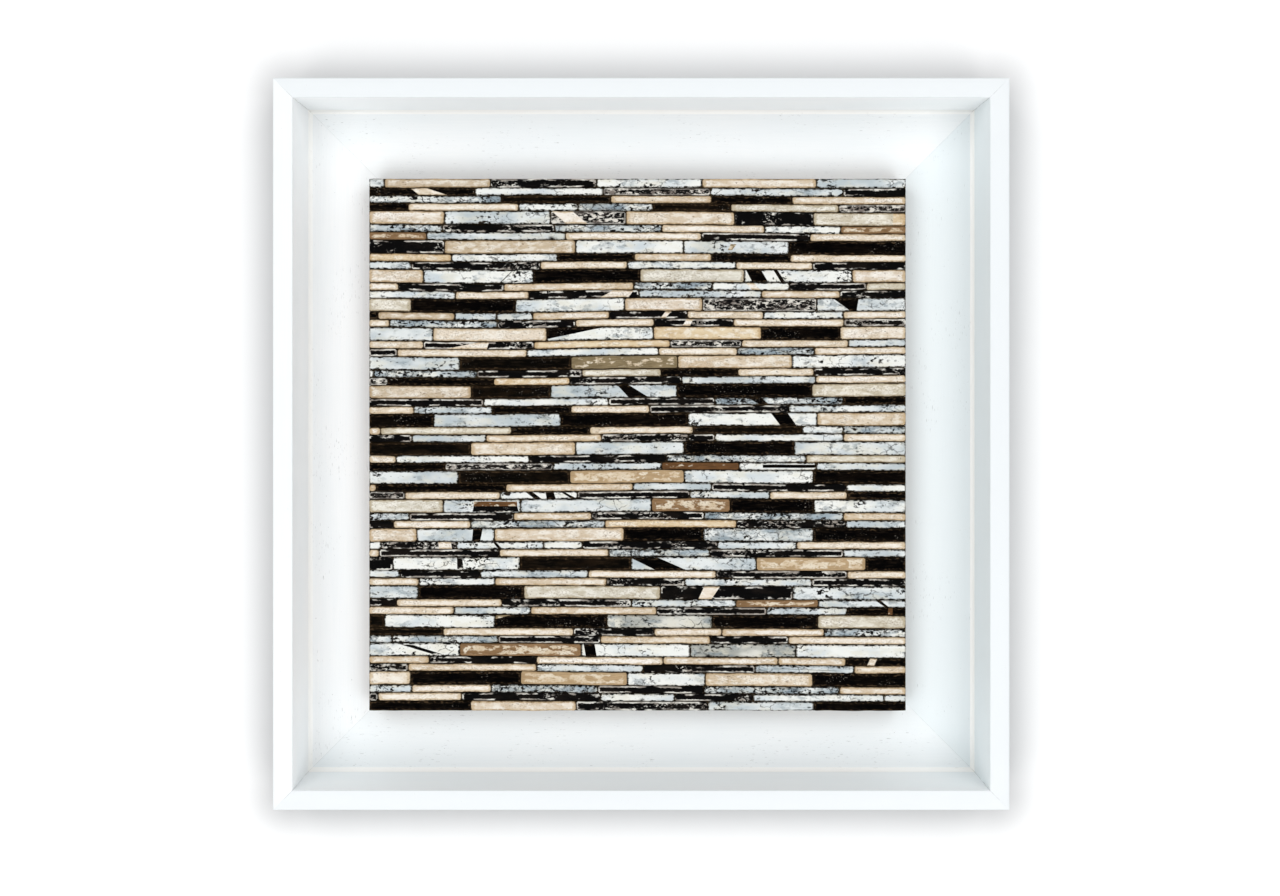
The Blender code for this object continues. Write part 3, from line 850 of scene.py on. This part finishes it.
def white_frame_paint():
    """Old white satin paint, brushed along the rail, with specks, chipped arrises and mitre lines, painted
    shade that differs from rail to rail, and a painted highlight along the foot of the wall.
    """
    material, nodes = new_material("white_frame_paint")
    place = nodes.add("Attribute", attribute_name="rail_place").outputs["Vector"]
    arris, mitre, foot, tone = (
        nodes.add("Attribute", attribute_name=what).outputs["Fac"] for what in RAIL_LAYERS
    )
    girth = nodes.add("SeparateXYZ", {0: place}).outputs["Y"]
    face_start = -CAD_BOX[0].y / MM
    face_end = face_start + RAIL_WALL / MM
    wall_end = face_end + face_start - RAIL_FLOOR / MM
    on_wall = nodes.ramp(girth, face_end - 0.5, face_end + 0.5)
    on_floor = nodes.ramp(girth, wall_end - 1, wall_end + 1)
    on_face = nodes.maths("SUBTRACT", nodes.ramp(girth, face_start - 1, face_start), on_wall, clamp=True)

    blots = partial(nodes.blots, place)

    def both(first, second):
        return nodes.maths("MULTIPLY", first, second)

    def coat(share, mask, over):
        return nodes.coat(both(mask, share), colour, over)

    strokes = blots(1.2, 40, 0.5, 0.2, 1.0)
    colour = nodes.coat(blots(45, 2, 0.5, 0.2, 2.0), paint(251, 252, 252), paint(247, 250, 251))
    colour = coat(0.3, strokes, paint(240, 244, 246))
    # Painted shade: each rail's paint greyer and bluer by its share of shade, and its face darker as well
    colour = coat(0.8, tone, paint(234, 242, 244))
    colour = coat(nodes.ramp(tone, -0.25, 0.22), on_face, paint(229, 233, 235))
    # Painted highlight: a whiter band along the cove at the foot of the wall
    foot_highlight = nodes.effect(
        "ragged_edge",
        {"Distance": foot, "Place": place, "Width": FOOT_HIGHLIGHT_BAND, "Wander": 0.15, "Size": 6.0, "Softness": 0.3},
    )
    colour = coat(1.0, foot_highlight, paint(255, 255, 252))
    dashes = both(blots(0.6, 9, 0.675, 0.02, 8.0), blots(40, 1.2, 0.53, 0.04, 9.0))
    colour = coat(0.50, both(dashes, on_floor), paint(120, 122, 120))
    colour = coat(0.85, both(blots(1.15, 1.2, 0.752, 0.010, 3.0), on_floor), paint(66, 62, 54))
    colour = coat(0.45, both(blots(1.0, 1.3, 0.75, 0.012, 13.0), on_face), paint(120, 116, 106))
    chipped = nodes.effect(
        "ragged_edge",
        {"Distance": arris, "Place": place, "Width": -0.95, "Wander": 1.1, "Size": 2.2, "Softness": 0.10},
    )
    colour = coat(0.6, chipped, paint(134, 122, 104))
    hairline = nodes.maths("SUBTRACT", 1.0, nodes.ramp(mitre, 0.08, 0.38), clamp=True)
    fainter_on_floor = nodes.maths("SUBTRACT", 1.0, both(on_floor, 0.45))
    shown = both(nodes.ramp(girth, face_start + 2, face_end - 4), fainter_on_floor)
    broken = both(blots(9, 1.0, 0.42, 0.06, 7.0), shown)
    colour = coat(0.62, both(hairline, broken), paint(86, 84, 78))
    height = nodes.maths("SUBTRACT", both(strokes, 0.25), chipped)
    bump = nodes.add("Bump", {"Strength": 0.5, "Distance": 0.00015, "Height": height})
    nodes.surface(
        {
            "Base Color": colour,
            "Roughness": nodes.spread(blots(8, 3, 0.5, 0.25, 5.0), 0.36, 0.50),
            "Normal": bump.outputs[0],
            "Specular IOR Level": 0.45,
        }
    )
    return material


def bare_pine():
    """Unpainted softwood with its grain along the rail, for the back of the rails."""
    material, nodes = new_material("bare_pine")
    place = nodes.add("Attribute", attribute_name="rail_place").outputs["Vector"]
    on_rail = nodes.add("SeparateXYZ", {0: place}).outputs
    here = nodes.add("SeparateXYZ", {0: nodes.add("TexCoord").outputs["Object"]}).outputs
    both_ways = nodes.maths("DIVIDE", nodes.maths("ADD", here["X"], here["Z"]), MM)
    across = nodes.maths("SUBTRACT", both_ways, on_rail["X"])
    on_back = nodes.add("CombineXYZ", {"X": on_rail["X"], "Y": across, "Z": on_rail["Z"]}).outputs[0]
    rings = nodes.blots(on_back, 3.2, 40, 0.5, 0.12, 11.0)
    fibres = nodes.blots(on_back, 0.6, 30, 0.5, 0.2, 12.0)
    colour = nodes.coat(rings, paint(214, 188, 148), paint(194, 162, 118))
    colour = nodes.coat(nodes.maths("MULTIPLY", fibres, 0.35), colour, paint(160, 126, 86))
    bump = nodes.add("Bump", {"Strength": 0.4, "Distance": 0.0002, "Height": fibres})
    nodes.surface(
        {
            "Base Color": colour,
            "Roughness": nodes.spread(rings, 0.68, 0.8),
            "Normal": bump.outputs[0],
            "Specular IOR Level": 0.3,
        }
    )
    return material


def rail_inward(name, point):
    """How far in from the frame's outer edge, how far along the rail and how far from its end."""
    low, high = CAD_BOX
    ways = {
        "rail_top": (high.z - point.z, point.x, min(point.x - low.x, high.x - point.x)),
        "rail_bottom": (point.z - low.z, point.x, min(point.x - low.x, high.x - point.x)),
        "rail_left": (point.x - low.x, point.z, min(point.z - low.z, high.z - point.z)),
        "rail_right": (high.x - point.x, point.z, min(point.z - low.z, high.z - point.z)),
    }
    return ways[name]


def around_section(inward, outward, depth):
    """How far round the moulding a point is, from the outer back edge over the face to the floor."""
    if outward > depth - RAIL_EDGE:
        return depth + inward
    if inward < RAIL_EDGE:
        return outward
    if inward < RAIL_WALL + RAIL_EDGE and outward > RAIL_FLOOR:
        return depth + RAIL_WALL + (depth - outward)
    return depth + RAIL_WALL + depth - RAIL_FLOOR + (inward - RAIL_WALL)


def long_edges(shape, run, hollow):
    """The edges along a rail at its outer corners, or those in its hollow corner."""
    found = []
    for edge in shape.edges:
        if len(edge.link_faces) != 2 or edge.calc_face_angle(0) < math.radians(30):
            continue
        way = (edge.verts[0].co - edge.verts[1].co).normalized()
        if abs(way.dot(run)) > ALIGNED and edge.calc_length() > LONG_EDGE and edge.is_convex != hollow:
            found.append(edge)
    return found


def build_rails(paint_finish, back_finish):
    """The four rails: the solids' own moulding, its edges eased, its hollow filled, its back bare."""
    depth = -CAD_BOX[0].y
    middle = (CAD_BOX[0] + CAD_BOX[1]) / 2
    for number, name in enumerate(RAILS):
        shape = solid_of(name)
        run = Vector((1, 0, 0)) if name in ("rail_top", "rail_bottom") else Vector((0, 0, 1))
        round_off(shape, long_edges(shape, run, False), RAIL_EASING, 2)
        round_off(shape, long_edges(shape, run, True), FOOT_COVE, 4)
        cut(shape, middle, run)
        layers = shape.verts.layers
        place = layers.float_vector.new("rail_place")
        for what in RAIL_LAYERS:
            layers.float.new(what)
        arris, mitre, foot, tone = (layers.float[what] for what in RAIL_LAYERS)
        for corner in shape.verts:
            inward, along, from_end = rail_inward(name, corner.co)
            girth = around_section(inward, -corner.co.y, depth)
            corner[place] = Vector((along / MM, girth / MM, number * RAIL_PATTERN_STEP))
            corner[arris] = abs(girth - depth - RAIL_WALL) / MM
            corner[mitre] = (from_end - inward) / math.sqrt(2) / MM
            corner[foot] = math.hypot(inward - RAIL_WALL, -corner.co.y - RAIL_FLOOR) / MM
            # Each rail's share of painted shade
            corner[tone] = RAIL_PAINTED_SHADES[number]
            if from_end - inward < MITRE_CLOSING * 2:
                corner.co += run * math.copysign(MITRE_CLOSING, (corner.co - middle).dot(run))
        for face in shape.faces:
            centre = face.calc_center_median()
            in_pocket = -centre.y < BARE_DEPTH and rail_inward(name, centre)[0] > RAIL_EDGE
            face.material_index = int(face.normal.y > BACK_FACING or in_pocket)
        piece = new_piece("painted_" + name, shape, [paint_finish, back_finish], 30)
        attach(piece, "root")
        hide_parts(name)


def finish_board():
    """Plywood on the board that carries the strips: plies at its edges, veneer on its back."""
    material, nodes = new_material("plywood")
    place = nodes.add("TexCoord").outputs["Object"]
    depth = nodes.add("SeparateXYZ", {0: place}).outputs["Y"]
    ply = nodes.maths("SINE", nodes.maths("MULTIPLY", depth, math.pi / PLY), 0.0)
    along = nodes.add("Mapping", {0: place, "Scale": (12.0, 900.0, 620.0)}).outputs[0]
    grain = nodes.add("TexNoise", {"Vector": along, "Scale": 1.0, "Detail": 4.0}).outputs["Fac"]
    colour = nodes.coat(nodes.ramp(ply, -0.3, 0.3), paint(150, 116, 80), paint(104, 76, 50))
    colour = nodes.coat(nodes.ramp(grain, 0.40, 0.72), colour, paint(86, 62, 42))
    bump = nodes.add("Bump", {"Strength": 0.4, "Distance": 0.0002, "Height": grain})
    roughness = nodes.spread(grain, 0.62, 0.82)
    nodes.surface({"Base Color": colour, "Roughness": roughness, "Normal": bump.outputs[0]})
    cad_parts["panel_board"].material_slots[0].material = material


def finish_hangers():
    """Zinc-plated steel, dulled in patches."""
    material, nodes = new_material("zinc_plate")
    place = nodes.add("TexCoord").outputs["Object"]
    cloud = nodes.add("TexNoise", {"Vector": place, "Scale": 260.0, "Detail": 4.0}).outputs["Fac"]
    colour = nodes.coat(nodes.ramp(cloud, 0.4, 0.65), paint(200, 198, 190), paint(172, 166, 150))
    nodes.surface({"Base Color": colour, "Metallic": 1.0, "Roughness": nodes.spread(cloud, 0.24, 0.5)})
    for name in ("hanger_left", "hanger_right"):
        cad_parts[name].material_slots[0].material = material


def stage_material(name, colour_of):
    """A matt surface that isn't there for an eye behind it."""
    material, nodes = new_material(name)
    shader = nodes.surface({"Base Color": colour_of(nodes), "Roughness": 0.9, "Specular IOR Level": 0.0})
    clear = nodes.add("BsdfTransparent")
    behind = nodes.add("NewGeometry").outputs["Backfacing"]
    seen = nodes.add("LightPath").outputs["Is Camera Ray"]
    seen_from_behind = nodes.maths("MULTIPLY", behind, seen)
    mix = nodes.add("MixShader", {0: seen_from_behind, 1: shader.outputs[0], 2: clear.outputs[0]})
    out = material.node_tree.nodes["Material Output"]
    material.node_tree.links.new(mix.outputs[0], out.inputs["Surface"])
    return material


def pale(nodes):
    """The same pale colour all over."""
    return STAGE_PALE


def painted_shadow_round_frame(nodes):
    """Pale, with a painted shadow that makes it greyer near the frame, as the ground in the photograph is.
    """
    middle = (CAD_BOX[0] + CAD_BOX[1]) / 2 - Vector((0, 0, PAINTED_SHADOW_DROP))
    half = (CAD_BOX[1] - CAD_BOX[0]) / 2
    here = nodes.add("SeparateXYZ", {0: nodes.add("TexCoord").outputs["Object"]}).outputs
    beyond = []
    for axis, centre, reach in (("X", middle.x, half.x), ("Z", middle.z, half.z)):
        off = nodes.maths("ABSOLUTE", nodes.maths("SUBTRACT", here[axis], centre), 0.0)
        beyond.append(nodes.maths("MAXIMUM", nodes.maths("SUBTRACT", off, reach), 0.0))
    away = nodes.add("CombineXYZ", {"X": beyond[0], "Y": beyond[1]}).outputs[0]
    distance = nodes.add("VectorMath", {0: away}, operation="LENGTH").outputs["Value"]
    return nodes.coat(nodes.ramp(distance, *PAINTED_SHADOW_REACH), STAGE_PAINTED_SHADOW, STAGE_PALE)


def build_stage():
    """A pale wall behind the frame with a painted shadow round it, open where the frame hangs, and a pale
    floor below it.
    """
    low, high = CAD_BOX
    reach = STAGE_REACH
    ground = low.z - FLOOR_DROP
    wall_y = high.y + STAGE_GAP
    wall = bmesh.new()
    outline = [(-reach, ground), (reach, ground), (reach, reach), (-reach, reach)]
    wall.faces.new([wall.verts.new((x, wall_y, z)) for x, z in outline])
    for point, normal in (
        ((low.x + MM, 0, 0), (1, 0, 0)),
        ((high.x - MM, 0, 0), (1, 0, 0)),
        ((0, 0, low.z + MM), (0, 0, 1)),
        ((0, 0, high.z - MM), (0, 0, 1)),
    ):
        cut(wall, point, normal)
    behind = []
    for face in wall.faces:
        centre = face.calc_center_median()
        if low.x < centre.x < high.x and low.z < centre.z < high.z:
            behind.append(face)
    bmesh.ops.delete(wall, geom=behind, context="FACES")
    floor = bmesh.new()
    outline = [(-reach, wall_y), (-reach, -reach), (reach, -reach), (reach, wall_y)]
    floor.faces.new([floor.verts.new((x, y, ground)) for x, y in outline])
    for name, shape, colour in (("studio_wall", wall, painted_shadow_round_frame), ("studio_floor", floor, pale)):
        new_piece(name, shape, [stage_material(name, colour)])


def add_lamp(name, place, target, width, power):
    """A square soft lamp that looks at a point."""
    data = bpy.data.lights.new(name, "AREA")
    data.size = width
    data.energy = power
    lamp = bpy.data.objects.new(name, data)
    lamp.location = place
    lamp.rotation_euler = (Vector(target) - Vector(place)).to_track_quat("-Z", "Y").to_euler()
    lamp.visible_camera = False
    bpy.context.collection.objects.link(lamp)


def build_light():
    """Four large soft lamps off the panel's corners, one behind it, and light from all round."""
    middle = (CAD_BOX[0] + CAD_BOX[1]) / 2
    for name, side, height, power in LAMPS:
        place = middle + Vector((side * LAMP_OFFSET, -LAMP_DISTANCE, height * LAMP_OFFSET))
        add_lamp(name, place, middle, LAMP_WIDTH, power * LAMP_POWER)
    add_lamp("back_lamp", middle + Vector(BACK_LAMP_OFFSET), middle, BACK_LAMP_WIDTH, BACK_LAMP_POWER)
    world = bpy.data.worlds.new("studio")
    bpy.context.scene.world = world
    world.use_nodes = True
    nodes = Nodes(world.node_tree)
    seen = nodes.add("LightPath").outputs["Is Camera Ray"]
    room = world.node_tree.nodes["Background"]
    nodes.fill(room, {"Color": ROOM_COLOUR, "Strength": ROOM_LIGHT})
    backdrop = nodes.add("Background", {"Color": BACKDROP, "Strength": 1.0})
    mix = nodes.add("MixShader", {0: seen, 1: room.outputs[0], 2: backdrop.outputs[0]})
    out = world.node_tree.nodes["World Output"]
    world.node_tree.links.new(mix.outputs[0], out.inputs["Surface"])


def build_camera():
    """The photograph's eye point: straight on, just above the middle, about a metre away."""
    low, high = CAD_BOX
    middle = (low + high) / 2
    data = bpy.data.cameras.new("camera")
    data.sensor_width = SENSOR
    data.lens = LENS
    camera = bpy.data.objects.new("camera", data)
    camera.location = (EYE_RIGHT, low.y - EYE_BEFORE_FACE, middle.z + EYE_ABOVE_CENTRE)
    camera.rotation_euler = (math.radians(90), 0, 0)
    pixels = LENS / SENSOR * PICTURE_WIDTH / EYE_BEFORE_FACE
    right = (middle.x - EYE_RIGHT) * pixels
    down = EYE_ABOVE_CENTRE * pixels
    data.shift_x = (right + PICTURE_WIDTH / 2 - CENTRE_PIXEL[0]) / PICTURE_WIDTH
    data.shift_y = (CENTRE_PIXEL[1] - PICTURE_HEIGHT / 2 - down) / PICTURE_WIDTH
    bpy.context.collection.objects.link(camera)
    bpy.context.scene.camera = camera
    bpy.context.scene.view_settings.view_transform = "Standard"


build_camera()
build_light()
build_stage()
make_blots()
make_ragged_edge()
make_cracks()
make_strip_rim()
build_rails(white_frame_paint(), bare_pine())
finish_board()
finish_hangers()
build_strips()
